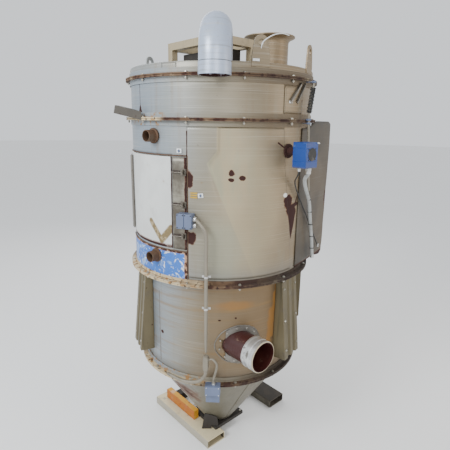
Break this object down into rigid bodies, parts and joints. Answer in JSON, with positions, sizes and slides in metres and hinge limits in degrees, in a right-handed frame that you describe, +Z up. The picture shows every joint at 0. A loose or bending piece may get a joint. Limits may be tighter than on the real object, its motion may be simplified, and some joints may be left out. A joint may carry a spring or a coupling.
{
  "type": "insulated drying hopper",
  "caption": "Round insulated drying hopper with a cone outlet, side access door, air inlet, exhaust gooseneck and fork tube base.",
  "frame": {"origin": "middle of the overall box, on the ground under the fork tubes; the vessel axis stands 32.6 mm along +X and 54.0 mm along +Y from it", "axes": "+Z up; the fork tubes and the air inlet run along Y, with the inlet and the level switch towards -Y; the access door faces -X"},
  "size_m": [1.0642, 1.076, 2.2452],
  "materials": {
    "painted_steel_cream": "weathered cream paint",
    "dark_steel": "dark oxidised steel",
    "yellow_block": "worn yellow and rust",
    "bare_steel": "brushed stainless steel",
    "drum_skin": "brushed sheet with stains and dents",
    "weathered_steel": "tan stained sheet",
    "rusty_ring": "rusted angle ring with paint remains",
    "white_paint": "off-white paint",
    "rubber": "black rubber",
    "lagging": "mineral wool",
    "blue_film": "torn blue protective film on sheet",
    "grey_box_paint": "grey-blue paint",
    "olive_paint": "olive paint with rust",
    "blue_housing": "blue enamel",
    "hose_skin": "light grey hose",
    "red_sleeve": "dark red silicone sleeve"
  },
  "bodies": {
    "vessel": {"air_diffuser": "bare_steel", "air_inlet_tube": "red_sleeve", "bearer_block": "yellow_block", "conduit_body": "painted_steel_cream", "conduit_sweep": "painted_steel_cream", "conduit_upper": "painted_steel_cream", "cross_member_front": "dark_steel", "cross_member_rear": "dark_steel", "exhaust_gooseneck": "drum_skin", "film_panel": "blue_film", "flange_ring_cone": "rusty_ring", "flange_ring_lid": "rusty_ring", "flange_ring_middle": "rusty_ring", "flange_ring_upper": "rusty_ring", "flex_conduit": "painted_steel_cream", "fork_tube_left": "painted_steel_cream", "fork_tube_right": "painted_steel_cream", "gate_body": "dark_steel", "hinge_frame_leaf": "bare_steel", "hinge_pin": "bare_steel", "inlet_collar": "bare_steel", "inlet_wall_flange": "bare_steel", "inner_shell": "bare_steel", "insulation": "lagging", "junction_box": "grey_box_paint", "junction_box_cover": "grey_box_paint", "latch_base_1": "bare_steel", "latch_base_2": "bare_steel", "latch_base_3": "bare_steel", "latch_strip": "weathered_steel", "leg_bracket_1": "olive_paint", "leg_bracket_2": "olive_paint", "leg_bracket_3": "olive_paint", "level_switch": "blue_housing", "lid": "weathered_steel", "loader_frame": "weathered_steel", "lower_box": "grey_box_paint", "lower_drum": "weathered_steel", "material_inlet": "weathered_steel", "middle_drum": "drum_skin", "outlet_cone": "weathered_steel", "outlet_flange": "dark_steel", "outlet_gusset": "dark_steel", "port_lower": "bare_steel", "port_upper": "bare_steel", "sensor_tube": "painted_steel_cream", "side_jacket": "drum_skin", "switch_cable": "rubber", "switch_hose": "hose_skin", "upper_arm": "olive_paint", "upper_drum": "drum_skin"},
    "door": {"access_door": "white_paint", "door_plug": "bare_steel", "door_gasket": "rubber", "hinge_door_leaf": "bare_steel"},
    "gate": {"gate_blade": "bare_steel"},
    "paddle": {"level_switch_paddle": "bare_steel"},
    "latch_1": {"latch_lever_1": "bare_steel"},
    "latch_2": {"latch_lever_2": "bare_steel"},
    "latch_3": {"latch_lever_3": "bare_steel"}
  },
  "joints": [
    {"name": "door_hinge", "type": "hinge", "parent": "vessel", "child": "door", "pos_m": [-0.36468, 0.29552, 1.4622], "axis": [0, 0, -1], "range_deg": [0, 110]},
    {"name": "gate_slide", "type": "slide", "parent": "vessel", "child": "gate", "axis": [0, 1, 0], "range_m": [0, 0.185]},
    {"name": "paddle_spin", "type": "hinge", "parent": "vessel", "child": "paddle", "pos_m": [0.03256, -0.346, 1.6992], "axis": [0, -1, 0], "continuous": true},
    {"name": "latch_1_pivot", "type": "hinge", "parent": "vessel", "child": "latch_1", "pos_m": [-0.38517, -0.16531, 1.60641], "axis": [0, 0, 1], "range_deg": [0, 95]},
    {"name": "latch_2_pivot", "type": "hinge", "parent": "vessel", "child": "latch_2", "pos_m": [-0.38517, -0.16531, 1.4622], "axis": [0, 0, 1], "range_deg": [0, 95]},
    {"name": "latch_3_pivot", "type": "hinge", "parent": "vessel", "child": "latch_3", "pos_m": [-0.38517, -0.16531, 1.31799], "axis": [0, 0, 1], "range_deg": [0, 95]}
  ]
}
